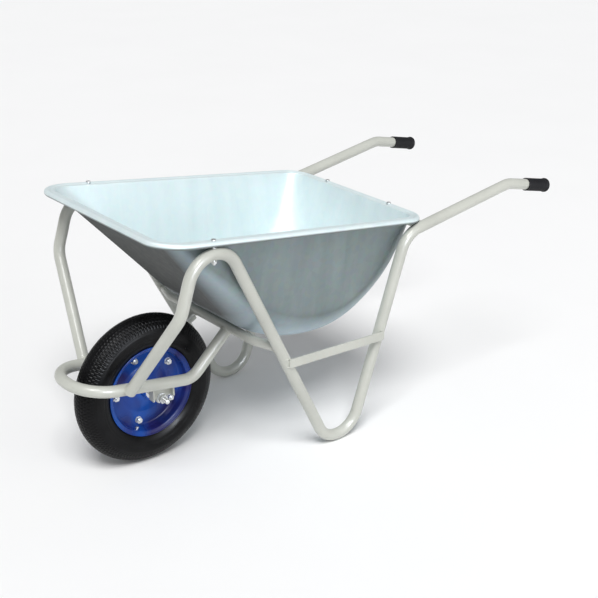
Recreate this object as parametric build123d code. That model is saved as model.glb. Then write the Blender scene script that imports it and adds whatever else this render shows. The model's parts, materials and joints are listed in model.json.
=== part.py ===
from build123d import *
import math
import os

# Single-wheel barrow with a folded galvanised tray on a bent-tube frame.
# Millimetres. While modelling, X runs rearward from the wheel's axle to the grips,
# Y runs across (plus is the user's right hand) and Z is up from the floor.
# At the end everything is slid along X so that the origin is under the middle.

# ---------------------------------------------------------------- driving dimensions
tyre_radius = 180.0
axle_height = tyre_radius

tube_r = 13.6              # 27.2 mm frame tube
tube_wall = 1.5
cross_r = 11.1             # 22.2 mm cross tube
bend_r = 64.0              # centre-line radius of the frame bends
arch_r = 68.0              # and of the front arch under the rim

rim_front = Vector(-100.3, 0, 616.9)   # centre of the rolled bead, front edge
rim_rear = Vector(650.0, 0, 513.6)     # centre of the rolled bead, rear edge
rim_half_front = 255.8
bead_r = 7.0
sheet = 1.2
ledge = 17.0               # bead centre line to the outside of the tray wall
front_slope = 48.9         # degrees from level
rear_slope = 75.0
side_slope = 82.3
tray_floor_z = 256.0       # underside of the tray
tray_front_arc = 350.0
tray_rear_arc = 224.0
tray_corner_r = 60.0
rim_corner_front = 60.0
rim_corner_rear = 55.0

brace_width = 21.0
brace_t = 4.0

cross_x = 190.8
cross_z = 303.0
rear_bar_x = 650.0
rear_bar_z = 495.0

axle_r = 5.95              # M12 axle
axle_end_y = 98.0
bracket_t = 4.0
bracket_y = 65.0           # inner face of the axle brackets
bracket_half = 28.5
bracket_depth = 17.5
bracket_nose = 13.5        # radius of the web's rounded lower end

ball_r = 2.95              # 12 x 32 x 10 ball bearing
ball_count = 7
pitch_r = 11.0
bearing_half = 5.0
bearing_outer_r = 16.0
bearing_inner_r = 6.0
hub_half = 32.0
hub_r = 19.5

wheel_lip_r = 110.6        # rolled lip of the pressed wheel halves
wheel_seat_r = 101.0
wheel_sheet = 2.0
bolt_circle_r = 80.0
wheel_bolts = 5
first_bolt_angle = -34.5
wheel_bolt_r = 4.0         # M8
wheel_nut_flats = 13.0

valve_angle = -110.0       # degrees round the wheel from rearward
valve_y = -12.5

grip_length = 77.0
grip_r = 16.2

rear_fixing_y = 115.0      # tray bolts through the rear ledge
bolt_r = 3.0               # M6
clearance_r = 3.3

handle_end = Vector(1064.9, 246.9, 517.5)
handle_knee = Vector(931.9, 243.5, 546.9)


# ---------------------------------------------------------------- helpers
def point(x, y, z):
    return Vector(x, y, z)


def across(vector):
    """The same point on the other side of the barrow."""
    return Vector(vector.X, -vector.Y, vector.Z)


def mirrored(shape):
    return mirror(shape, about=Plane.XZ)


def rod(path, radius):
    """A solid round bar along a path."""
    start = Plane(origin=path @ 0, z_dir=path % 0)
    return sweep(start * Circle(radius), path=path)


def pipe(path, radius, wall):
    return rod(path, radius) - rod(path, radius - wall)


def along_y(radius, low, high, x=0.0, z=0.0):
    """A round bar parallel to Y from y=low to y=high."""
    plane = Plane(origin=(x, low, z), x_dir=(1, 0, 0), z_dir=(0, 1, 0))
    return extrude(plane * Circle(radius), amount=high - low)


def ring_y(outer, inner, low, high, x=0.0, z=0.0):
    return along_y(outer, low, high, x, z) - along_y(inner, low - 1, high + 1, x, z)


def hex_y(across_flats, low, high, x=0.0, z=0.0):
    plane = Plane(origin=(x, low, z), x_dir=(1, 0, 0), z_dir=(0, 1, 0))
    return extrude(plane * RegularPolygon(across_flats / math.sqrt(3), 6), amount=high - low)


def round_copies(shape, count, radius, start=90.0):
    """Copies of a shape modelled on the wheel's axis, set round a bolt circle."""
    copies = []
    for number in range(count):
        angle = math.radians(start + 360.0 * number / count)
        copies.append(Pos(radius * math.cos(angle), 0, radius * math.sin(angle)) * shape)
    return copies


# ---------------------------------------------------------------- frame tubes
def side_path():
    """Centre line of the right side tube, from its weld on the hoop to the handle's end."""
    corners = [
        point(-98.0, 99.0, 237.4),      # weld on the wheel hoop
        point(-60.4, 253.6, 456.4),
        point(10.2, 253.4, 685.6),      # over the front arch
        point(418.0, 215.1, -91.8),     # foot
        point(590.0, 239.9, 490.2),
        handle_knee,
        handle_end,
    ]
    return FilletPolyline(*corners, radius=[bend_r, arch_r, bend_r, bend_r, bend_r])


def hoop_path():
    """Centre line of the hoop that runs round the wheel and rises to the cross tube."""
    right = [
        point(186.0, 66.0, 291.0),
        point(76.0, 84.5, 210.5),
        point(-199.5, 83.5, 253.0),
    ]
    left = [across(corner) for corner in reversed(right)]
    return FilletPolyline(*right, *left, radius=[55.0, 79.0, 79.0, 55.0])


def cross_path():
    """Centre line of the cross tube, whose ends bend back to the struts."""
    right = [point(212.8, 233.0, 302.0), point(cross_x, 168.0, cross_z)]
    left = [across(corner) for corner in reversed(right)]
    return FilletPolyline(*right, *left, radius=60.0)


def side_tube(hoop_solid):
    return pipe(side_path(), tube_r, tube_wall) - hoop_solid


def wheel_hoop(cross_solid):
    return pipe(hoop_path(), tube_r, tube_wall) - cross_solid


def leg_brace():
    """Flat bar welded across the outside of the strut and the rear leg."""
    front = point(231.0, -250.3, 262.0)
    rear = point(521.0, -249.0, 250.0)
    run = (rear - front).normalized()
    plane = Plane(origin=front, x_dir=run, z_dir=point(0, 1, 0) - run * run.Y)
    length = (rear - front).length
    outline = plane * Pos(length / 2, 0) * RectangleRounded(length, brace_width, 6.0)
    return extrude(outline, amount=brace_t)


def axle_bracket():
    """Channel bracket under the left side of the hoop, open outward, with a rounded nose."""
    top = axle_height + 44.0
    shoulder = axle_height + 2.0
    half = bracket_half
    nose = bracket_nose
    outline = Polyline((-half, top), (-half, shoulder), (-nose, axle_height), (nose, axle_height),
                       (half, shoulder), (half, top), close=True)
    face = make_face(outline)
    face += Pos(0, axle_height) * Circle(nose)
    plane = Plane(origin=(0, -bracket_y, 0), x_dir=(1, 0, 0), z_dir=(0, -1, 0))
    shape = extrude(plane * face, amount=bracket_t)
    for side in (-1, 1):
        flange = Pos(side * (half - bracket_t / 2), -bracket_y, shoulder) * Box(
            bracket_t, bracket_depth, top - shoulder, align=(Align.CENTER, Align.MAX, Align.MIN))
        shape += flange
    return shape - along_y(axle_r + 0.3, -200, 200, z=axle_height)


# ---------------------------------------------------------------- tray
def rim_plane():
    """Plane through the centre of the rolled bead, X rearward and Z up out of the tray."""
    run = (rim_rear - rim_front).normalized()
    return Plane(origin=rim_front, x_dir=run, z_dir=point(-run.Z, 0, run.X))


def rim_length():
    return (rim_rear - rim_front).length


def tray_block():
    """The tray as a solid lump: side profile crossed with its leaning sides, corners rounded."""
    plane = rim_plane()
    front_top = plane.origin + plane.x_dir * ledge
    rear_top = rim_rear - plane.x_dir * ledge
    lean_front = math.tan(math.radians(front_slope))
    lean_rear = math.tan(math.radians(rear_slope))
    above = 150.0
    front_floor = front_top.X + (front_top.Z - tray_floor_z) / lean_front
    rear_floor = rear_top.X - (rear_top.Z - tray_floor_z) / lean_rear
    start = point(front_top.X - above / lean_front, 0, front_top.Z + above)
    end = point(rear_top.X + (above + 100) / lean_rear, 0, rear_top.Z + above + 100)
    low_front = point(front_floor, 0, tray_floor_z)
    low_rear = point(rear_floor, 0, tray_floor_z)
    bottom = FilletPolyline(start, low_front, low_rear, end, radius=[tray_front_arc, tray_rear_arc])
    profile = make_face([bottom, Line(end, start)])
    prism = extrude(profile, amount=400, dir=(0, 1, 0), both=True)
    lean = math.tan(math.radians(90 - side_slope))
    half_top = rim_half_front - ledge + lean * above
    high = rim_front.Z + above
    low = 100.0
    half_low = half_top - lean * (high - low)
    section = Polyline((-300, -half_low, low), (-300, half_low, low), (-300, half_top, high),
                       (-300, -half_top, high), close=True)
    wedge = extrude(make_face(section), amount=1400, dir=(1, 0, 0))
    return prism & wedge


def rounded(block, radius):
    edges = [edge for edge in block.edges()
             if abs(edge.center().Y) > 50 and edge.center().Z < rim_front.Z + 100]
    return fillet(edges, radius)


def rim_outline():
    """Rounded trapezoid through the bead's centre line."""
    length = rim_length()
    rear_half = rim_half_front - math.tan(math.radians(90 - side_slope)) * (rim_front.Z - rim_rear.Z)
    corners = [(0, -rim_half_front), (length, -rear_half), (length, rear_half), (0, rim_half_front)]
    outline = make_face(Polyline(*corners, close=True))
    front = [vertex for vertex in outline.vertices() if vertex.X < 1]
    outline = fillet(front, rim_corner_front)
    rear = [vertex for vertex in outline.vertices() if vertex.X > length - 1]
    outline = fillet(rear, rim_corner_rear)
    return rim_plane() * outline


def bead():
    """Rolled edge: the sheet curls over, out and back under, open towards the wall."""
    path = rim_outline().wire()
    up = rim_plane().z_dir
    inward = up.cross(path % 0)
    section = Circle(bead_r) - Circle(bead_r - sheet)
    section -= Pos(bead_r, bead_r / 4) * Rectangle(2 * bead_r, 1.5 * bead_r)
    return sweep(Plane(origin=path @ 0, x_dir=inward, z_dir=inward.cross(up)) * section, path=path)


def tray(bolt_holes):
    """Pressed tray: wall, ledge and rolled bead from one sheet."""
    block = tray_block()
    outer = rounded(block, tray_corner_r)
    inner = rounded(offset(block, amount=-sheet, kind=Kind.INTERSECTION), tray_corner_r - sheet)
    plane = rim_plane()
    upward = (Align.CENTER, Align.CENTER, Align.MIN)
    cover = plane * Pos(300, 0, bead_r) * Box(2000, 1000, 400, align=upward)
    lift = Pos(plane.z_dir * (bead_r - sheet))
    ledge_plate = lift * extrude(rim_outline(), amount=sheet, dir=plane.z_dir)
    return (outer - cover + ledge_plate + bead()) - inner - bolt_holes


# ---------------------------------------------------------------- tray fixings
def rim_top(x):
    """Height of the ledge's upper face at a given x."""
    slope = (rim_rear.Z - rim_front.Z) / (rim_rear.X - rim_front.X)
    return rim_front.Z + slope * (x - rim_front.X) + bead_r


def fixings():
    """Where each tray bolt stands: x, y, and the top and underside of the tube it runs through."""
    path = side_path()
    arch = max((path.position_at(step / 400) for step in range(160)), key=lambda spot: spot.Z)
    rear_x = rim_rear.X - 2.0
    spots = []
    for side in (-1, 1):
        spots.append((arch.X, side * arch.Y, arch.Z + tube_r + 0.05, arch.Z - tube_r - 0.05))
        spots.append((rear_x, side * rear_fixing_y, rear_bar_z + cross_r + 0.05, rear_bar_z - cross_r))
    return spots


def upright(radius, low, high, x, y):
    return Pos(x, y, low) * Cylinder(radius, high - low, align=(Align.CENTER, Align.CENTER, Align.MIN))


def tray_bolt(x, y, tube_top, tube_low):
    """Bolt with a low round head on the sloping ledge."""
    top = rim_top(x) + 0.9
    head = upright(5.5, top, top + 2.2, x, y)
    head = fillet(head.edges().sort_by(Axis.Z)[-1:], 1.8)
    return head + upright(bolt_r, tube_low - 10.0, top, x, y)


def tray_spacer(x, y, tube_top, tube_low):
    """Sleeve between the arch and the underside of the rolled bead."""
    outside = upright(6.0, tube_top, rim_top(x) - 2 * bead_r - 1.0, x, y)
    return outside - upright(clearance_r, 0, 900, x, y)


def tray_washer(x, y, tube_top, tube_low):
    return upright(6.5, tube_low - 1.8, tube_low - 0.6, x, y) - upright(bolt_r, 0, 900, x, y)


def tray_nut(x, y, tube_top, tube_low):
    nut = Pos(x, y, tube_low - 6.8) * extrude(RegularPolygon(5.8, 6), amount=5.0)
    return nut - upright(bolt_r, 0, 900, x, y)


def tray_bolt_holes():
    return Compound([upright(clearance_r, tube_low - 30, rim_top(x) + 30, x, y)
                     for x, y, tube_top, tube_low in fixings()])


# ---------------------------------------------------------------- grips
def grip():
    """Right handle grip: a sleeve with a closed, slightly flared end."""
    run = (handle_end - handle_knee).normalized()
    start = handle_end - run * (grip_length - 6.0)
    plane = Plane(origin=start, x_dir=(0, 1, 0), z_dir=run)
    flare = grip_r + 1.6
    outline = Polyline((0, 0), (grip_r - 0.8, 0), (grip_r, 1.5), (grip_r, grip_length - 12),
                       (flare, grip_length - 8), (flare, grip_length - 2), (flare - 2, grip_length),
                       (0, grip_length), close=True)
    sleeve = revolve(Plane.XZ * make_face(outline), axis=Axis.Z, revolution_arc=360)
    sleeve -= Cylinder(tube_r, grip_length - 6.0, align=(Align.CENTER, Align.CENTER, Align.MIN))
    return plane * sleeve


# ---------------------------------------------------------------- wheel
def pressed(points, thickness, bends):
    """Outline of pressed sheet: a bent centre line of (radius, y) points with a thickness."""
    line = FilletPolyline(*[(r, y) for r, y in points], radius=bends)
    return make_face(offset(line, amount=thickness / 2, side=Side.BOTH))


def wheel_half():
    """Left pressed half of the split wheel, with its bolt holes."""
    skin = wheel_sheet / 2
    seat = wheel_seat_r - skin
    centre = [(hub_r + skin + 0.05, -14.0), (27.0, -14.0), (60.0, -skin), (94.0, -skin),
              (seat, -12.0), (seat, -26.5), (wheel_lip_r - 1.2, -30.5)]
    face = pressed(centre, wheel_sheet, [6, 14, 6, 5, 3.5])
    half = Pos(0, 0, axle_height) * revolve(face, axis=Axis.Y, revolution_arc=360)
    for hole in bolt_round(along_y(wheel_bolt_r + 0.4, -20, 20, z=axle_height)):
        half -= hole
    return half


def bolt_round(shape):
    return round_copies(shape, wheel_bolts, bolt_circle_r, first_bolt_angle)


def tyre_face(outer_half, crown_r, seat_r, bead_low, bead_high, fullness):
    """Half-filled outline of a tyre section, as (radius, y), closed across the seat."""
    side = ThreePointArc((seat_r + 8, bead_high), (140.0, outer_half), (crown_r - 14, fullness))
    crown = ThreePointArc((crown_r - 14, fullness), (crown_r, 0), (crown_r - 14, -fullness))
    other = ThreePointArc((crown_r - 14, -fullness), (140.0, -outer_half), (seat_r + 8, -bead_high))
    toe = seat_r + 8
    foot = Polyline((toe, -bead_high), (seat_r, -bead_low), (seat_r, bead_low), (toe, bead_high))
    return make_face([side, crown, other, foot])


def tyre():
    outer = tyre_face(39.5, tyre_radius, wheel_seat_r + 0.3, 22.0, 28.0, 28.0)
    inner = tyre_face(34.0, tyre_radius - 8.0, wheel_seat_r + 0.3, 17.0, 23.0, 24.0)
    return Pos(0, 0, axle_height) * revolve(outer - inner, axis=Axis.Y, revolution_arc=360)


def inner_tube():
    """Inflated tube in the hollow of the tyre."""
    centre = 139.0
    section = Circle(29.0) - Circle(27.0)
    return Pos(0, 0, axle_height) * revolve(Pos(centre, 0) * section, axis=Axis.Y, revolution_arc=360)


def valve(radius, low, high):
    """Round piece on the valve's line, between two distances from the wheel's centre."""
    angle = math.radians(valve_angle)
    out = point(math.cos(angle), 0, math.sin(angle))
    plane = Plane(origin=point(0, valve_y, axle_height) + out * low, x_dir=(0, 1, 0), z_dir=out)
    return extrude(plane * Circle(radius), amount=high - low)


# ---------------------------------------------------------------- bearings
def bearing_y():
    """Middle planes of the two bearings."""
    middle = hub_half - 0.5 - bearing_half
    return (-middle, middle)


def groove(y):
    circle = Pos(pitch_r, y) * Circle(ball_r + 0.05)
    return Pos(0, 0, axle_height) * revolve(circle, axis=Axis.Y, revolution_arc=360)


def outer_race(y):
    low, high = y - bearing_half, y + bearing_half
    return ring_y(bearing_outer_r, 12.9, low, high, z=axle_height) - groove(y)


def inner_race(y):
    low, high = y - bearing_half, y + bearing_half
    return ring_y(9.1, bearing_inner_r, low, high, z=axle_height) - groove(y)


def ball_set(y):
    ball = Pos(0, y, axle_height) * Sphere(ball_r)
    return round_copies(ball, ball_count, pitch_r)


def cage(y):
    ring = ring_y(11.6, 10.4, y - 3.4, y + 3.4, z=axle_height)
    for pocket in round_copies(Pos(0, y, axle_height) * Sphere(ball_r + 0.06), ball_count, pitch_r):
        ring -= pocket
    return ring


def shield(y, side):
    """Thin steel shield pressed into the outer race."""
    face = y + side * (bearing_half - 0.9)
    low, high = sorted((face, face + side * 0.5))
    return ring_y(12.9, 9.5, low, high, z=axle_height)


# ---------------------------------------------------------------- assembly
def build():
    cross_solid = rod(cross_path(), cross_r)
    hoop_solid = rod(hoop_path(), tube_r)
    strut_solid = rod(side_path(), tube_r)
    holes = tray_bolt_holes()

    right_side = side_tube(hoop_solid) - holes
    struts = strut_solid + mirrored(strut_solid)
    hoop = wheel_hoop(cross_solid)
    cross = pipe(cross_path(), cross_r, tube_wall) - struts
    rear_bar_path = Line((rear_bar_x, -240, rear_bar_z), (rear_bar_x, 240, rear_bar_z))
    rear_bar = pipe(rear_bar_path, cross_r, tube_wall) - struts - holes
    bracket = axle_bracket() - rod(hoop_path(), tube_r + 0.1)

    half = wheel_half()
    stem_hole = valve(4.6, 96, 112)
    washer_y = bracket_y + bracket_t
    left_washer = ring_y(12.0, axle_r, -washer_y - 2.5, -washer_y, z=axle_height)
    left_nut = hex_y(19.0, -washer_y - 12.5, -washer_y - 2.5, z=axle_height)
    left_nut -= along_y(axle_r, -200, 200, z=axle_height)
    bearing_out = bearing_y()[1] + bearing_half
    bearing_in = bearing_y()[1] - bearing_half
    left_spacer = ring_y(9.0, axle_r, -bracket_y, -bearing_out, z=axle_height)
    wheel_bolt = hex_y(wheel_nut_flats, wheel_sheet, wheel_sheet + 5.3, z=axle_height)
    wheel_bolt += along_y(wheel_bolt_r, -14.5, wheel_sheet, z=axle_height)
    nut_face = -wheel_sheet - 1.6
    wheel_washer = ring_y(8.2, wheel_bolt_r, nut_face, -wheel_sheet, z=axle_height)
    wheel_nut = hex_y(wheel_nut_flats, nut_face - 6.5, nut_face, z=axle_height)
    wheel_nut -= along_y(wheel_bolt_r, -30, 30, z=axle_height)

    return {
        "right_side_tube": [right_side],
        "left_side_tube": [mirrored(right_side)],
        "wheel_hoop": [hoop],
        "front_cross_tube": [cross],
        "rear_cross_tube": [rear_bar],
        "left_leg_brace": [leg_brace()],
        "right_leg_brace": [mirrored(leg_brace())],
        "left_axle_bracket": [bracket],
        "right_axle_bracket": [mirrored(bracket)],
        "tray": [tray(holes)],
        "tray_bolts": [tray_bolt(*spot) for spot in fixings()],
        "tray_washers": [tray_washer(*spot) for spot in fixings()],
        "tray_spacers": [tray_spacer(*spot) for spot in fixings() if spot[0] < cross_x],
        "tray_nuts": [tray_nut(*spot) for spot in fixings()],
        "right_grip": [grip()],
        "left_grip": [mirrored(grip())],
        "axle": [chamfer(along_y(axle_r, -axle_end_y, axle_end_y, z=axle_height).edges(), 1.0)],
        "axle_washers": [left_washer, mirrored(left_washer)],
        "axle_nuts": [left_nut, mirrored(left_nut)],
        "left_axle_spacer": [left_spacer],
        "right_axle_spacer": [mirrored(left_spacer)],
        "bearing_spacer": [ring_y(8.0, axle_r, -bearing_in, bearing_in, z=axle_height)],
        "bearing_inner_races": [inner_race(y) for y in bearing_y()],
        "bearing_outer_races": [outer_race(y) for y in bearing_y()],
        "bearing_shields": [shield(y, side) for y in bearing_y() for side in (-1, 1)],
        "bearing_balls": [ball for y in bearing_y() for ball in ball_set(y)],
        "bearing_cages": [cage(y) for y in bearing_y()],
        "hub_tube": [ring_y(hub_r, bearing_outer_r, -hub_half, hub_half, z=axle_height)],
        "left_wheel_half": [half - stem_hole],
        "right_wheel_half": [mirrored(half)],
        "wheel_bolts": bolt_round(wheel_bolt),
        "wheel_washers": bolt_round(wheel_washer),
        "wheel_nuts": bolt_round(wheel_nut),
        "tyre": [tyre()],
        "inner_tube": [inner_tube()],
        "valve_stem": [valve(3.4, 95.5, 109.8)],
        "valve_cap": [valve(4.2, 93.5, 98.5) - valve(3.4, 95.5, 100)],
    }


def export(parts):
    """Centre the barrow along X and write one file per part."""
    os.makedirs("parts", exist_ok=True)
    box = Compound([shape for shapes in parts.values() for shape in shapes]).bounding_box()
    middle = (box.min.X + box.max.X) / 2
    print("slid along X by", -middle, "box", box)
    for name, shapes in parts.items():
        solids = [solid for shape in shapes for solid in shape.solids()]
        moved = [Pos(-middle, 0, 0) * solid for solid in solids]
        export_step(moved[0] if len(moved) == 1 else Compound(moved), "parts/" + name + ".step")


export(build())
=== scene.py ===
import math
import bmesh
import bpy
import numpy as np
from mathutils import Matrix, Vector
from mathutils.bvhtree import BVHTree
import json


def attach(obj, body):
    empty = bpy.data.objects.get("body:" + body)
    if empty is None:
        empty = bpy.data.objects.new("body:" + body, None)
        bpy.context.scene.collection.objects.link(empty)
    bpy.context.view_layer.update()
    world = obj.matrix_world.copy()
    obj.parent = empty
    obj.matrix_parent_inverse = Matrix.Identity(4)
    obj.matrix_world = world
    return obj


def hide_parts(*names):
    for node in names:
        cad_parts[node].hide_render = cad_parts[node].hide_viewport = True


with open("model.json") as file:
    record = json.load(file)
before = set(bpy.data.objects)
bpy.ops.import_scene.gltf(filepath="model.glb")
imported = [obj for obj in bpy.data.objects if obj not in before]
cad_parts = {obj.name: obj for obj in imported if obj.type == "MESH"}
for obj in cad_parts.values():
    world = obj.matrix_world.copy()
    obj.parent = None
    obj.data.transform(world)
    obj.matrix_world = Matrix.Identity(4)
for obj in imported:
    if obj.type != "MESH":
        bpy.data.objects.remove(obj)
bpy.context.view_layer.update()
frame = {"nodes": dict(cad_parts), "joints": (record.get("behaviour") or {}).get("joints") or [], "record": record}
nodes = frame["nodes"]
axle = Vector(frame["joints"][0]["pos_m"])   # the wheel's centre; the drawing's x runs from it
MM = 0.001


def place(x, y, z):
    """A point of the drawing, millimetres from under the axle, in the row frame."""
    return Vector((x * MM + axle.x, y * MM, z * MM))


# ---------------------------------------------------------------- node helpers
class Shader:
    """One procedural material, with short calls for the nodes it is made from."""

    def __init__(self, name, color, metallic=0.0, roughness=0.5, **sockets):
        self.material = bpy.data.materials.new(name)
        self.material.use_nodes = True
        self.tree = self.material.node_tree
        self.surface = self.tree.nodes["Principled BSDF"]
        self.feed(self.surface, {"Base Color": (*color, 1), "Metallic": metallic, "Roughness": roughness})
        self.feed(self.surface, sockets)
        self.where = self.add("ShaderNodeTexCoord").outputs["Object"]

    def give(self, socket, value):
        """Link another node's output to a socket, or set a plain value on it."""
        if isinstance(value, bpy.types.NodeSocket):
            self.tree.links.new(value, socket)
        else:
            socket.default_value = value

    def feed(self, node, values):
        for key, value in values.items():
            self.give(node.inputs[key], value)

    def add(self, kind, **values):
        node = self.tree.nodes.new(kind)
        self.feed(node, values)
        return node

    def stretched(self, scale):
        mapping = self.add("ShaderNodeMapping", Vector=self.where, Scale=scale)
        return mapping.outputs["Vector"]

    def noise(self, scale, detail, roughness=0.55, where=None, distortion=0.0):
        node = self.add("ShaderNodeTexNoise", Vector=where or self.where, Scale=scale, Detail=detail,
                        Roughness=roughness, Distortion=distortion)
        return node.outputs["Fac"]

    def cells(self, scale):
        return self.add("ShaderNodeTexVoronoi", Vector=self.where, Scale=scale).outputs["Color"]

    def remap(self, value, low, high, to_low, to_high):
        node = self.tree.nodes.new("ShaderNodeMapRange")
        for socket, number in zip(node.inputs, (value, low, high, to_low, to_high)):
            self.give(socket, number)
        return node.outputs["Result"]

    def mix(self, factor, first, second, blend="MIX"):
        node = self.tree.nodes.new("ShaderNodeMix")
        node.data_type = "RGBA"
        node.blend_type = blend
        self.give(node.inputs[0], factor)
        for socket, value in ((node.inputs[6], first), (node.inputs[7], second)):
            self.give(socket, (*value, 1) if isinstance(value, tuple) else value)
        return node.outputs[2]

    def drive(self, socket, value):
        self.tree.links.new(value, self.surface.inputs[socket])

    def color(self, value):
        self.drive("Base Color", value)

    def gloss(self, value):
        self.drive("Roughness", value)

    def bump(self, height, strength, distance):
        node = self.add("ShaderNodeBump", Height=height, Strength=strength, Distance=distance)
        self.drive("Normal", node.outputs["Normal"])


# ---------------------------------------------------------------- materials
def galvanised(name, light, dark, roughness, metallic, under, front_shade=None):
    """Hot-dip galvanised sheet: faint spangle, streaks down the draw, soft stains.

    under is a painted tone for what faces down, with the two slopes that it starts and ends at: painted shade on
    the inside sheet's downward faces, such as the bead's underside, and a painted reflection of the floor low on
    the outside.
    The last argument is painted shade: a dark, speckled tone over what faces forward, where metallic and specular
    level are also turned down.
    """
    made = Shader(name, light, metallic=metallic, roughness=roughness, **{"Specular IOR Level": 0.4})
    streaks = made.noise(1.0, 4.0, where=made.stretched((19.0, 19.0, 1.6)), distortion=0.3)
    cloud = made.noise(4.0, 4.0, distortion=0.6)
    spangle = made.cells(85.0)
    tone = made.mix(made.remap(streaks, 0.30, 0.72, 0.0, 1.0), dark, light)
    tone = made.mix(made.remap(cloud, 0.35, 0.7, 0.0, 0.35), tone, tuple(c * 0.84 for c in light))
    facing = made.add("ShaderNodeSeparateXYZ", Vector=made.add("ShaderNodeNewGeometry").outputs["Normal"])
    # Downward-facing faces take a painted tone: painted shade on the inside, a painted floor reflection on the
    # outside.
    under_tone, slope_from, slope_to = under
    tone = made.mix(made.remap(facing.outputs["Z"], slope_from, slope_to, 0.0, 0.9), tone, under_tone)
    tone = made.mix(0.06, tone, spangle, "SOFT_LIGHT")
    made.gloss(made.remap(cloud, 0.3, 0.7, roughness - 0.07, roughness + 0.10))
    # Forward-facing faces get painted shade: a darker, speckled tone, with metallic and specular level turned down
    # to keep the floor's glare off the front wall.
    if front_shade:
        front = made.remap(facing.outputs["X"], -0.38, -0.72, 0.0, 1.0)
        specks = made.noise(60.0, 5.0, 0.7)
        front_shade_tone = made.mix(made.remap(specks, 0.45, 0.75, 0.0, 0.6), front_shade, tuple(c * 1.5 for c in front_shade))
        tone = made.mix(made.remap(front, 0.0, 1.0, 0.0, 0.95), tone, front_shade_tone)
        made.drive("Metallic", made.remap(front, 0.0, 1.0, metallic, 0.0))
        made.drive("Specular IOR Level", made.remap(front, 0.0, 1.0, 0.4, 0.0))
    made.color(tone)
    made.bump(made.noise(240.0, 3.0), 0.10, 0.0006)
    return made.material


def enamel(name, light, dark, roughness, coat, grime):
    """Sprayed enamel: slight orange peel, soft tone changes, faint grime."""
    made = Shader(name, light, roughness=roughness, **{"Coat Weight": coat, "Coat Roughness": 0.12})
    cloud = made.noise(9.0, 5.0)
    specks = made.noise(75.0, 5.0, 0.7)
    tone = made.mix(made.remap(cloud, 0.4, 0.72, 0.0, 1.0), light, dark)
    tone = made.mix(made.remap(specks, 0.62, 0.76, 0.0, 0.35), tone, grime)
    made.color(tone)
    made.gloss(made.remap(cloud, 0.3, 0.7, roughness - 0.05, roughness + 0.10))
    made.bump(made.noise(420.0, 2.0), 0.10, 0.0005)
    return made.material


def pressing(name, light, dark, roughness):
    """Enamel over pressed sheet: large random pools of painted shade and dark reflection, a darker, redder blue
    laid in a brighter, lit one.
    """
    made = Shader(name, light, roughness=roughness, **{"Specular IOR Level": 0.22})
    painted_shade_pools = made.noise(7.0, 2.0, distortion=0.8)
    scuffs = made.noise(120.0, 5.0, 0.7)
    tone = made.mix(made.remap(painted_shade_pools, 0.40, 0.60, 0.0, 1.0), light, dark)
    tone = made.mix(made.remap(scuffs, 0.66, 0.80, 0.0, 0.4), tone, (0.05, 0.07, 0.16))
    made.color(tone)
    made.gloss(made.remap(painted_shade_pools, 0.3, 0.7, roughness - 0.06, roughness + 0.08))
    made.bump(made.noise(300.0, 2.0), 0.08, 0.0005)
    return made.material


def plated(name, light, dark, roughness):
    """Zinc plate or ground steel, a little cloudy."""
    made = Shader(name, light, metallic=0.9, roughness=roughness)
    cloud = made.noise(90.0, 4.0)
    made.color(made.mix(made.remap(cloud, 0.35, 0.7, 0.0, 1.0), light, dark))
    made.gloss(made.remap(cloud, 0.3, 0.7, roughness - 0.08, roughness + 0.14))
    made.bump(made.noise(700.0, 2.0), 0.12, 0.0003)
    return made.material


def rubber(name, tone, worn, roughness, dust):
    """Moulded rubber with fine grain and a touch of dust."""
    made = Shader(name, tone, roughness=roughness, **{"Specular IOR Level": 0.14})
    cloud = made.noise(22.0, 5.0)
    grain = made.noise(900.0, 2.0)
    made.color(made.mix(made.remap(cloud, 0.42, 0.75, 0.0, dust), tone, worn))
    made.gloss(made.remap(cloud, 0.3, 0.7, roughness - 0.10, roughness + 0.12))
    made.bump(grain, 0.22, 0.0004)
    return made.material


paint = enamel("cream_enamel", (0.54, 0.55, 0.50), (0.48, 0.49, 0.445), 0.34, 0.3, (0.28, 0.27, 0.23))
weld_paint = enamel("cream_enamel_on_weld", (0.50, 0.51, 0.46), (0.40, 0.40, 0.35), 0.42, 0.2,
                    (0.20, 0.19, 0.16))
# The darker blue is painted shade and dark reflection, laid in random pools over the lit blue.
blue = pressing("blue_enamel", (0.012, 0.085, 0.42), (0.018, 0.018, 0.135), 0.26)
# The inside copy's dark downward tone is painted shade under the bead.
tray_inside = galvanised("galvanised_inside", (0.78, 0.875, 0.885), (0.69, 0.80, 0.82), 0.45, 0.20,
                         ((0.12, 0.138, 0.14), 0.05, -0.45))
# The outside copy is the same galvanised sheet painted darker, as painted shade; its light downward tone is a
# painted reflection of the floor, and its last colour is painted shade on the front wall.
tray_outside_painted_light = galvanised("galvanised_outside_painted_light", (0.24, 0.29, 0.295), (0.185, 0.225, 0.23), 0.40, 0.5,
                          ((0.52, 0.64, 0.71), -0.30, -0.80), (0.12, 0.12, 0.116))
zinc = plated("zinc_plate", (0.74, 0.75, 0.75), (0.56, 0.57, 0.57), 0.30)
ground = plated("ground_steel", (0.70, 0.70, 0.72), (0.58, 0.58, 0.60), 0.18)
brass = plated("valve_brass", (0.72, 0.56, 0.28), (0.56, 0.42, 0.20), 0.30)
tyre_rubber = rubber("tyre_rubber", (0.0030, 0.0030, 0.0035), (0.008, 0.008, 0.009), 0.34, 0.5)
grip_rubber = rubber("grip_rubber", (0.013, 0.013, 0.015), (0.030, 0.030, 0.032), 0.50, 0.5)
tube_rubber = rubber("tube_rubber", (0.020, 0.020, 0.020), (0.040, 0.040, 0.040), 0.60, 0.4)

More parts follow.
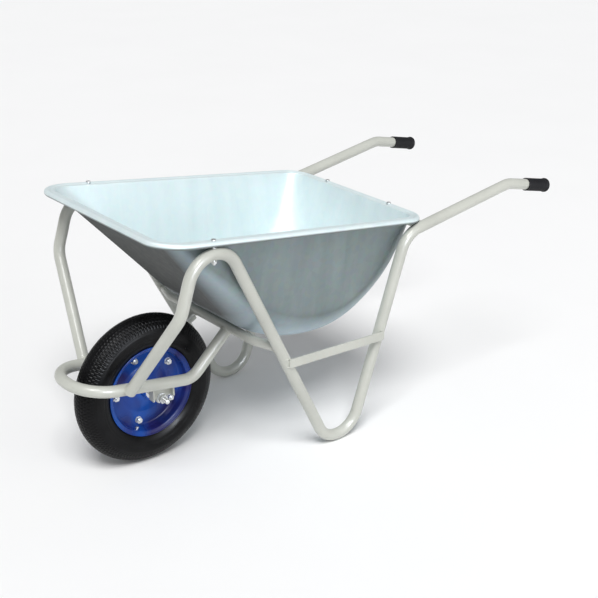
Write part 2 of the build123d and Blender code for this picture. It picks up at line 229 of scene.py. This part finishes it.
SLOT_LOOKS = {
    "frame_paint": paint,
    "galvanised": tray_outside_painted_light,
    "zinc": zinc,
    "grip_rubber": grip_rubber,
    "bearing_steel": ground,
    "wheel_paint": blue,
    "tyre_rubber": tyre_rubber,
    "tube_rubber": tube_rubber,
    "valve_brass": brass,
    "valve_cap_metal": zinc,
}
for part in frame["record"]["subparts"]:
    mesh = nodes[part["node"]].data
    mesh.materials.clear()
    mesh.materials.append(SLOT_LOOKS[part["material_slot"]])


# ---------------------------------------------------------------- mesh helpers
def new_piece(name, points, faces, looks, body, stands_for=(), closed=True):
    mesh = bpy.data.meshes.new(name)
    mesh.from_pydata([tuple(p) for p in points], [], faces)
    if closed:
        work = bmesh.new()
        work.from_mesh(mesh)
        bmesh.ops.recalc_face_normals(work, faces=work.faces)
        work.to_mesh(mesh)
        work.free()
    mesh.update()
    for look in looks:
        mesh.materials.append(look)
    mesh.polygons.foreach_set("use_smooth", [True] * len(mesh.polygons))
    piece = bpy.data.objects.new(name, mesh)
    bpy.context.scene.collection.objects.link(piece)
    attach(piece, body)
    if stands_for:
        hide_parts(*stands_for)
    return piece


def grid_faces(rows, columns, close_rows=False):
    """Quads of a grid whose columns join up; close_rows joins the last row to the first."""
    faces = []
    for row in range(rows if close_rows else rows - 1):
        below = (row + 1) % rows
        for column in range(columns):
            after = (column + 1) % columns
            faces.append((row * columns + column, below * columns + column,
                          below * columns + after, row * columns + after))
    return faces


def side_vectors(axis):
    first = axis.orthogonal().normalized()
    return first, axis.cross(first).normalized()


def turned(origin, axis, profile, segments):
    """Points of a lathe shape: profile is a list of (radius, distance along the axis)."""
    axis = axis.normalized()
    first, second = side_vectors(axis)
    points = []
    for radius, along in profile:
        for step in range(segments):
            angle = 2 * math.pi * step / segments
            out = first * math.cos(angle) + second * math.sin(angle)
            points.append(origin + axis * along + out * radius)
    return points


# ---------------------------------------------------------------- tray
RIM_FRONT = np.array([-100.3, 0.0, 616.9])
RIM_REAR = np.array([650.0, 0.0, 513.6])
RIM_HALF = 255.8
LEDGE = 17.0
SHEET = 1.2
BEAD = 7.0
FLOOR = 256.0
FRONT_SLOPE = math.radians(48.9)
REAR_SLOPE = math.radians(75.0)
SIDE_LEAN = math.radians(7.7)
FRONT_ARC = 350.0
REAR_ARC = 224.0
RIM_LONG = 757.0
CORNER_FRONT = 42.0     # wall corner radius at the rim's front, at its rear, and low down all round
CORNER_REAR = 36.0
CORNER_DEEP = 88.0
CORNER_DEPTH = 230.0    # how far below the rim the low radius is reached
BEND = 3.3              # bend from wall to ledge
BEND_START = 2.0
LEDGE_HIGH = 3.9
RIPPLE = 0.17
RIM_RUN = (RIM_REAR - RIM_FRONT) / np.linalg.norm(RIM_REAR - RIM_FRONT)
RIM_UP = np.array([-RIM_RUN[2], 0.0, RIM_RUN[0]])


def corner_distance(x, z, wall_x, wall_z, slope, arc, sign):
    """Signed distance to floor and one sloping end wall, their corner rounded by an arc."""
    normal = np.array([sign * math.sin(slope), -math.cos(slope)])
    wall = (x - wall_x) * normal[0] + (z - wall_z) * normal[1]
    floor = FLOOR - z
    foot_x = wall_x - sign * (wall_z - FLOOR) / math.tan(slope)
    centre_x = foot_x - sign * arc * math.tan(slope / 2)
    centre_z = FLOOR + arc
    dx = x - centre_x
    dz = z - centre_z
    round_part = np.hypot(dx, dz) - arc
    past_floor = sign * dx > 0
    below_wall = sign * dx * math.cos(slope) + dz * math.sin(slope) < 0
    return np.where(past_floor, np.where(below_wall, round_part, wall), floor)


def tray_distance(points):
    """How far points lie outside the tray's outer face; the corner radius grows with depth."""
    x, y, z = points[..., 0], points[..., 1], points[..., 2]
    front_top = RIM_FRONT + RIM_RUN * LEDGE
    rear_top = RIM_REAR - RIM_RUN * LEDGE
    ends = np.maximum(
        corner_distance(x, z, front_top[0], front_top[2], FRONT_SLOPE, FRONT_ARC, -1),
        corner_distance(x, z, rear_top[0], rear_top[2], REAR_SLOPE, REAR_ARC, 1))
    half = RIM_HALF - LEDGE - math.tan(SIDE_LEAN) * (RIM_FRONT[2] - z)
    sides = (np.abs(y) - half) * math.cos(SIDE_LEAN)
    depth = -((points - RIM_FRONT) @ RIM_UP)
    along = np.clip(((points - RIM_FRONT) @ RIM_RUN) / RIM_LONG, 0, 1)
    deep = np.clip(depth / CORNER_DEPTH, 0, 1)
    deep = deep * deep * (3 - 2 * deep)
    high_radius = CORNER_FRONT + (CORNER_REAR - CORNER_FRONT) * along
    radius = high_radius * (1 - deep) + CORNER_DEEP * deep
    inside = np.minimum(-radius, np.maximum(ends, sides))
    return inside + np.hypot(np.maximum(ends + radius, 0), np.maximum(sides + radius, 0))


def tray_rays(starts, directions, level):
    """Where rays from inside the tray meet the given distance level."""
    low = np.zeros(directions.shape[:-1])
    high = np.full(directions.shape[:-1], 800.0)
    for _ in range(34):
        middle = (low + high) / 2
        outside = tray_distance(starts + directions * middle[..., None]) > level
        high = np.where(outside, middle, high)
        low = np.where(outside, low, middle)
    return starts + directions * high[..., None]


def ripples(points):
    """Slow waves of a pressed sheet, at most about half a millimetre."""
    x, y, z = points[..., 0], points[..., 1], points[..., 2]
    waves = np.sin(x / 43.0 + y / 71.0 + 0.6)
    waves += np.sin(z / 58.0 - x / 83.0 + 2.1)
    waves += np.sin(y / 37.0 + z / 95.0)
    return waves * RIPPLE


def tray():
    """Inside face, ledge and rolled bead as one sheet, thickened away from the load."""
    columns = 400
    around = np.arange(columns) / columns * 4
    half_run, half_wide = 361.0, 232.0
    side = np.floor(around)
    part = (around - side) * 2 - 1
    run = np.choose(side.astype(int), [np.ones(columns), -part, -np.ones(columns), part]) * half_run
    wide = np.choose(side.astype(int), [part, np.ones(columns), -part, -np.ones(columns)]) * half_wide
    flat = run[:, None] * RIM_RUN + wide[:, None] * np.array([0.0, 1.0, 0.0])
    flat /= np.linalg.norm(flat, axis=1)[:, None]
    centre = RIM_FRONT + RIM_RUN * 372.0

    tilt = np.radians(np.linspace(89.0, 0.0, 70))
    rays = np.cos(tilt)[:, None, None] * flat - np.sin(tilt)[:, None, None] * RIM_UP
    bowl = tray_rays(centre, rays, -SHEET)
    fade = np.clip(np.degrees(tilt) / 12.0, 0, 1)[:, None]
    bowl += rays * (ripples(bowl) * fade)[..., None]
    top = tray_rays(centre + RIM_UP * BEND_START, flat, -SHEET)
    tangent = np.roll(top, -1, axis=0) - np.roll(top, 1, axis=0)
    outward = np.cross(tangent, RIM_UP)
    outward /= np.linalg.norm(outward, axis=1)[:, None]
    outward *= np.sign((outward * flat).sum(1))[:, None]

    middle = LEDGE + SHEET
    bend_angles = np.radians([20, 40, 60, 80, 90])
    bead_angles = np.radians(np.arange(128, -205, -13))
    section = [(BEND * (1 - math.cos(a)), BEND_START + BEND * math.sin(a)) for a in bend_angles]
    section += [(step, LEDGE_HIGH) for step in (6.5, 9.5, 12.0)]
    section += [(middle + BEAD * math.cos(a), BEAD * math.sin(a)) for a in bead_angles]
    rows = [bowl, top[None]]
    for out, up in section:
        rows.append((top + outward * out + RIM_UP * (up - BEND_START))[None])
    points = np.concatenate(rows)
    count = points.shape[0]
    pole = tray_rays(centre, -RIM_UP[None], -SHEET)[0]
    flat_points = [place(*p) for p in points.reshape(-1, 3)] + [place(*pole)]
    faces = grid_faces(count, columns)
    last = count * columns
    faces += [(last, column, (column + 1) % columns) for column in range(columns)]
    piece = new_piece("tray_sheet", flat_points, faces, (tray_inside, tray_outside_painted_light), "frame",
                      ("tray",), closed=False)
    solid = piece.modifiers.new("thickness", "SOLIDIFY")
    solid.thickness = SHEET * MM
    solid.offset = -1.0
    solid.material_offset = 1


tray()


# ---------------------------------------------------------------- tyre
STUDS_ROUND = 120
STUD_ROW = 8.4
TREAD_DEEP = 1.1
TREAD_FROM, TREAD_TO = 44.0, 48.0    # where the tread fades out, measured across the crown


def arc_points(first, middle, last, count):
    """Points along the arc through three (radius, y) points, both ends included."""
    (ax, ay), (bx, by), (cx, cy) = first, middle, last
    d = 2 * (ax * (by - cy) + bx * (cy - ay) + cx * (ay - by))
    a2, b2, c2 = ax * ax + ay * ay, bx * bx + by * by, cx * cx + cy * cy
    ux = (a2 * (by - cy) + b2 * (cy - ay) + c2 * (ay - by)) / d
    uy = (a2 * (cx - bx) + b2 * (ax - cx) + c2 * (bx - ax)) / d
    radius = math.hypot(ax - ux, ay - uy)
    start = math.atan2(ay - uy, ax - ux)
    sweep = math.atan2(cy - uy, cx - ux) - start
    sweep = (sweep + math.pi) % (2 * math.pi) - math.pi
    angles = start + sweep * np.linspace(0, 1, count)
    return np.stack([ux + radius * np.cos(angles), uy + radius * np.sin(angles)], 1)


def smooth_step(value, low, high):
    t = np.clip((value - low) / (high - low), 0, 1)
    return t * t * (3 - 2 * t)


def tread(turn, across):
    """Depth of the tread: rows of studs, set like bricks."""
    pitch_round = 2 * math.pi / STUDS_ROUND
    row = across / STUD_ROW
    shift = np.floor(row + 0.5) % 2 * 0.5
    u = np.abs((turn / pitch_round + shift) % 1 - 0.5)
    v = np.abs((row + 0.5) % 1 - 0.5)
    groove = smooth_step(np.maximum(u, v * 0.92), 0.33, 0.42)
    edge = smooth_step(np.abs(across), TREAD_FROM, TREAD_TO)
    return -TREAD_DEEP * groove * (1 - edge)


def tyre():
    """Moulded tyre with stud tread, shoulder and ringed sidewalls."""
    near = arc_points((109.3, -28.0), (140.0, -39.5), (166.0, -28.0), 30)
    crown = arc_points((166.0, -28.0), (180.0, 0.0), (166.0, 28.0), 76)
    far = near[::-1] * [1, -1]
    outer = np.concatenate([near, crown[1:-1], far])
    inner = np.array([(101.4, 22.0), (101.4, 17.0), (112.0, 24.5), (140.0, 33.5), (163.0, 23.0), (171.5, 0.0),
                      (163.0, -23.0), (140.0, -33.5), (112.0, -24.5), (101.4, -17.0), (101.4, -22.0)])
    steps = np.diff(outer, axis=0, prepend=outer[:1])
    length = np.cumsum(np.hypot(steps[:, 0], steps[:, 1]))
    across = length - length[-1] / 2
    tangent = np.gradient(outer, axis=0)
    normal = np.stack([tangent[:, 1], -tangent[:, 0]], 1)
    normal /= np.linalg.norm(normal, axis=1)[:, None]
    radius = outer[:, 0]
    side_rings = -0.9 * smooth_step(np.abs(radius - 128.0), 1.6, 0.6)
    side_rings -= 0.7 * smooth_step(np.abs(radius - 152.0), 1.8, 0.8)
    columns = 1008
    turn = np.arange(columns) / columns * 2 * math.pi
    depth = tread(turn[None, :], across[:, None]) + side_rings[:, None]
    section = outer[:, None, :] + normal[:, None, :] * depth[..., None]
    back = np.repeat(inner[:, None, :], columns, axis=1)
    rings = np.concatenate([section, back])
    x = rings[..., 0] * np.cos(turn) * MM + axle.x
    z = rings[..., 0] * np.sin(turn) * MM + axle.z
    points = np.stack([x, rings[..., 1] * MM + axle.y, z], -1)
    faces = grid_faces(len(rings), columns, close_rows=True)
    new_piece("tyre_moulded", points.reshape(-1, 3), faces, (tyre_rubber,), "wheel", ("tyre",))


tyre()


# ---------------------------------------------------------------- grips and axle
def in_metres(profile):
    return [(radius * MM, along * MM) for radius, along in profile]


def lathe(name, origin, axis, profile, segments, look, body, stands_for):
    """Closed turned piece: the profile's two ends are capped."""
    points = turned(origin, axis, profile, segments)
    faces = grid_faces(len(profile), segments)
    faces.append(tuple(range(segments)))
    faces.append(tuple(range((len(profile) - 1) * segments, len(profile) * segments)))
    return new_piece(name, points, faces, (look,), body, stands_for)


GRIP_LONG = 77.0
GRIP_R = 16.2
GRIP_SEGMENTS = 64
TUBE_R = 13.6
HANDLE_KNEE = (931.9, 243.5, 546.9)
HANDLE_END = (1064.9, 246.9, 517.5)


def grip_profile():
    """Mouth with a rolled lip, fine rings under the palm, flared end with a soft edge."""
    outer = [(TUBE_R + 0.1, 1.0), (TUBE_R + 0.5, 0.2), (GRIP_R - 0.9, 0.0), (GRIP_R - 0.1, 0.7),
             (GRIP_R, 1.8), (GRIP_R, 4.6), (GRIP_R - 0.5, 5.4)]
    for ring in range(15):
        base = 6.4 + ring * 4.0
        outer += [(GRIP_R - 0.6, base), (GRIP_R - 0.1, base + 0.7), (GRIP_R, base + 1.6),
                  (GRIP_R - 0.1, base + 2.5), (GRIP_R - 0.6, base + 3.2)]
    outer += [(GRIP_R + 0.2, GRIP_LONG - 8.4), (GRIP_R + 1.2, GRIP_LONG - 7.2),
              (GRIP_R + 1.6, GRIP_LONG - 5.6), (GRIP_R + 1.6, GRIP_LONG - 2.6),
              (GRIP_R + 1.1, GRIP_LONG - 1.2), (GRIP_R - 0.2, GRIP_LONG - 0.3),
              (GRIP_R - 2.0, GRIP_LONG), (GRIP_R - 5.0, GRIP_LONG - 0.6), (3.0, GRIP_LONG - 1.2)]
    bore = [(3.0, GRIP_LONG - 5.8), (TUBE_R + 0.1, GRIP_LONG - 5.8)]
    return in_metres(outer), in_metres(bore)


def grips():
    outer, bore = grip_profile()
    for name, side in (("right", 1), ("left", -1)):
        knee = place(HANDLE_KNEE[0], side * HANDLE_KNEE[1], HANDLE_KNEE[2])
        end = place(HANDLE_END[0], side * HANDLE_END[1], HANDLE_END[2])
        heading = (end - knee).normalized()
        start = end - heading * (GRIP_LONG - 6.0) * MM
        points = turned(start, heading, outer + bore, GRIP_SEGMENTS)
        faces = grid_faces(len(outer) + len(bore), GRIP_SEGMENTS, close_rows=True)
        cut = len(outer) - 1
        faces = [face for index, face in enumerate(faces) if index // GRIP_SEGMENTS != cut]
        for row in (cut, cut + 1):
            faces.append(tuple(range(row * GRIP_SEGMENTS, (row + 1) * GRIP_SEGMENTS)))
        new_piece(name + "_grip_rubber", points, faces, (grip_rubber,), "frame",
                  (name + "_grip",))


AXLE_R = 5.95
AXLE_HALF = 98.0
THREAD_FROM = 71.0
LIP_R = 109.0
LIP_OUT = 31.2
LIP_ROLL = 1.5


def threaded(start, end, radius, pitch):
    """Profile of a thread between two places, as (radius, along) in millimetres."""
    steps = int(round(abs(end - start) / pitch * 4))
    depths = (0.0, 0.45, 0.9, 0.45)
    sign = 1 if end > start else -1
    return [(radius - depths[step % 4] * pitch / 1.75, start + sign * step * pitch / 4)
            for step in range(steps + 1)]


def axle_rod():
    """Axle with threaded, chamfered ends."""
    half = [(0.6, -AXLE_HALF), (AXLE_R - 1.2, -AXLE_HALF)]
    half += threaded(-AXLE_HALF + 1.2, -THREAD_FROM, AXLE_R, 1.75)
    other = [(radius, -along) for radius, along in reversed(half)]
    lathe("axle_rod", axle, Vector((0, 1, 0)), in_metres(half + other), 48, zinc, "frame", ("axle",))


def wheel_lips():
    """Rolled wire edge on the flange of each wheel half."""
    angles = np.radians(np.arange(0, 360, 30))
    roll = [(LIP_R + LIP_ROLL * math.cos(a), -LIP_OUT + LIP_ROLL * math.sin(a)) for a in angles]
    for name, side in (("left", 1), ("right", -1)):
        profile = [(radius * MM, along * side * MM) for radius, along in roll]
        points = turned(axle, Vector((0, 1, 0)), profile, 160)
        new_piece(name + "_wheel_lip", points, grid_faces(len(profile), 160, close_rows=True), (blue,),
                  "wheel")


grips()
axle_rod()
wheel_lips()


# ---------------------------------------------------------------- welds
CROSS_R = 11.1
EDGE_BEAD = 2.2
BRACE_TILT = -12.0 / 290.0


def surface_of(node):
    mesh = nodes[node].data
    return BVHTree.FromPolygons([v.co for v in mesh.vertices], [p.vertices[:] for p in mesh.polygons])


def bead(name, spots, size):
    """Rippled weld bead through points that carry the direction it stands out in."""
    points, rings = [], 10
    count = len(spots)
    for index, (centre, out) in enumerate(spots):
        before = spots[max(index - 1, 0)][0]
        after = spots[min(index + 1, count - 1)][0]
        along = (after - before).normalized()
        out = (out - along * out.dot(along)).normalized()
        side = along.cross(out)
        taper = min(1.0, 0.35 + min(index, count - 1 - index) * 0.22)
        thick = size * taper * (0.90 + 0.14 * math.sin(index * 2.1) + 0.05 * math.sin(index * 0.7 + size))
        for ring in range(rings):
            angle = 2 * math.pi * ring / rings
            points.append(centre + (out * math.cos(angle) * 0.75 + side * math.sin(angle)) * thick)
    faces = grid_faces(count, rings)
    faces.append(tuple(range(rings)))
    faces.append(tuple(range((count - 1) * rings, count * rings)))
    new_piece(name, points, faces, (weld_paint,), "frame")


def longest_run(hits):
    """The longest unbroken run of hits round a loop."""
    count = len(hits)
    if all(hits):
        return hits + hits[:1]
    best = []
    for start in range(count):
        if hits[start] and not hits[start - 1]:
            run = []
            while len(run) < count and hits[(start + len(run)) % count]:
                run.append(hits[(start + len(run)) % count])
            if len(run) > len(best):
                best = run
    return best


def end_weld(name, behind, toward, radius, target, size=2.6):
    """Bead where a tube's end meets another tube, carried along the first tube's wall."""
    heading = (toward - behind).normalized()
    first, second = side_vectors(heading)
    tree = surface_of(target)
    hits = []
    for step in range(96):
        angle = 2 * math.pi * step / 96
        out = first * math.cos(angle) + second * math.sin(angle)
        hit, normal, _, _ = tree.ray_cast(behind + out * radius * MM, heading, 0.12)
        facing = hit is not None and normal.dot(heading) < -0.12
        hits.append((hit, (out + normal).normalized()) if facing else None)
    run = longest_run(hits)
    if len(run) > 8:
        bead(name, run, size * MM)


def edge_weld(name, start, end, inward, target, reach):
    """Bead along a straight plate edge, dropped onto the tube behind it."""
    tree = surface_of(target)
    spots = []
    for step in range(61):
        spot = start.lerp(end, step / 60)
        hit, normal, _, distance = tree.ray_cast(spot - inward * 0.02, inward, 0.02 + reach * MM)
        if hit is not None:
            spots.append((hit, (normal - inward).normalized()))
    if len(spots) > 8:
        bead(name, spots, EDGE_BEAD * MM)


def welds():
    for name, side in (("right", 1), ("left", -1)):
        tube = name + "_side_tube"
        end_weld(name + "_strut_weld", place(-83.0, side * 160.0, 324.0), place(-98.0, side * 99.0, 237.4),
                 TUBE_R, "wheel_hoop")
        end_weld(name + "_cross_weld", place(199.8, side * 194.6, 302.6), place(212.8, side * 233.0, 302.0),
                 CROSS_R, tube, 2.2)
        end_weld(name + "_hoop_weld", place(148.0, side * 72.4, 263.2), place(186.0, side * 66.0, 291.0),
                 TUBE_R, "front_cross_tube")
        end_weld(name + "_rear_weld", place(650.0, side * 190.0, 495.0), place(650.0, side * 240.0, 495.0),
                 CROSS_R, tube, 2.2)
        inward = Vector((0, -side, 0))
        for edge, drop in (("top", 10.5), ("low", -10.5)):
            for spot, x0, x1 in (("front", 222.0, 262.0), ("rear", 500.0, 522.0)):
                low = place(x0, side * 250.0, 262.0 + (x0 - 231.0) * BRACE_TILT + drop)
                high = place(x1, side * 250.0, 262.0 + (x1 - 231.0) * BRACE_TILT + drop)
                edge_weld("%s_brace_weld_%s_%s" % (name, spot, edge), low, high, inward, tube, 9.0)
        bracket_low = place(-27.0, side * 69.8, 190.0)
        bracket_high = place(27.0, side * 69.8, 190.0)
        edge_weld(name + "_bracket_weld", bracket_low, bracket_high, Vector((0, 0, 1)), "wheel_hoop", 45.0)


welds()


# ---------------------------------------------------------------- floor, light and camera
def camera():
    view = bpy.data.cameras.new("camera")
    view.sensor_width = 36.0
    view.lens = 76.30
    eye = bpy.data.objects.new("camera", view)
    forward = Vector((0.58340, 0.71240, -0.39004))
    right = Vector((0.77478, -0.63221, 0.00417))
    up = right.cross(forward)
    turn = Matrix((right, up, -forward)).transposed().to_4x4()
    eye.matrix_world = Matrix.Translation(place(-1383.4, -2252.0, 1511.5)) @ turn
    bpy.context.scene.collection.objects.link(eye)
    bpy.context.scene.camera = eye


def floor():
    """Plain pale floor: a very large disc, so that it fills the picture from any side."""
    points = [(0.0, 0.0, 0.0)]
    rings = (2.0, 6.0, 20.0, 90.0)
    for reach in rings:
        points += [(reach * math.cos(a), reach * math.sin(a), 0.0) for a in np.radians(np.arange(0, 360, 5))]
    faces = [(0, 1 + step, 1 + (step + 1) % 72) for step in range(72)]
    faces += [tuple(1 + index for index in face) for face in grid_faces(len(rings), 72)]
    mesh = bpy.data.meshes.new("floor")
    mesh.from_pydata(points, [], faces)
    mesh.update()
    look = Shader("pale_floor", (0.92, 0.92, 0.92), roughness=0.9)
    look.color(look.mix(look.noise(2.0, 3.0), (0.91, 0.91, 0.91), (0.94, 0.94, 0.94)))
    mesh.materials.append(look.material)
    plane = bpy.data.objects.new("floor", mesh)
    bpy.context.scene.collection.objects.link(plane)


def softbox(name, spot, target, size, power, tint):
    lamp = bpy.data.lights.new(name, "AREA")
    lamp.shape = "SQUARE"
    lamp.size = size
    lamp.energy = power
    lamp.color = tint
    holder = bpy.data.objects.new(name, lamp)
    holder.location = spot
    holder.rotation_mode = "QUATERNION"
    holder.rotation_quaternion = (Vector(target) - Vector(spot)).to_track_quat("-Z", "Y")
    bpy.context.scene.collection.objects.link(holder)
    return holder


def studio():
    world = bpy.data.worlds.new("studio")
    world.use_nodes = True
    world.node_tree.nodes["Background"].inputs["Color"].default_value = (0.97, 0.98, 1.0, 1)
    world.node_tree.nodes["Background"].inputs["Strength"].default_value = 0.30
    bpy.context.scene.world = world
    softbox("side", (1.1, -3.2, 1.3), (0.1, 0.0, 0.4), 1.5, 14.0, (1.0, 1.0, 1.0))
    sheen = softbox("sheen", (-0.53, -2.9, 1.5), (-0.43, 0.0, 0.2), 1.3, 130.0, (0.88, 0.93, 1.0))
    sheen.visible_diffuse = False
    lamp = bpy.data.lights.new("key", "SUN")
    lamp.energy = 2.7
    lamp.angle = math.radians(28.0)
    key = bpy.data.objects.new("key", lamp)
    key.rotation_mode = "QUATERNION"
    key.rotation_quaternion = Vector((0.34, 0.42, -0.84)).to_track_quat("-Z", "Y")
    bpy.context.scene.collection.objects.link(key)
    bpy.context.scene.view_settings.view_transform = "Standard"


camera()
floor()
studio()
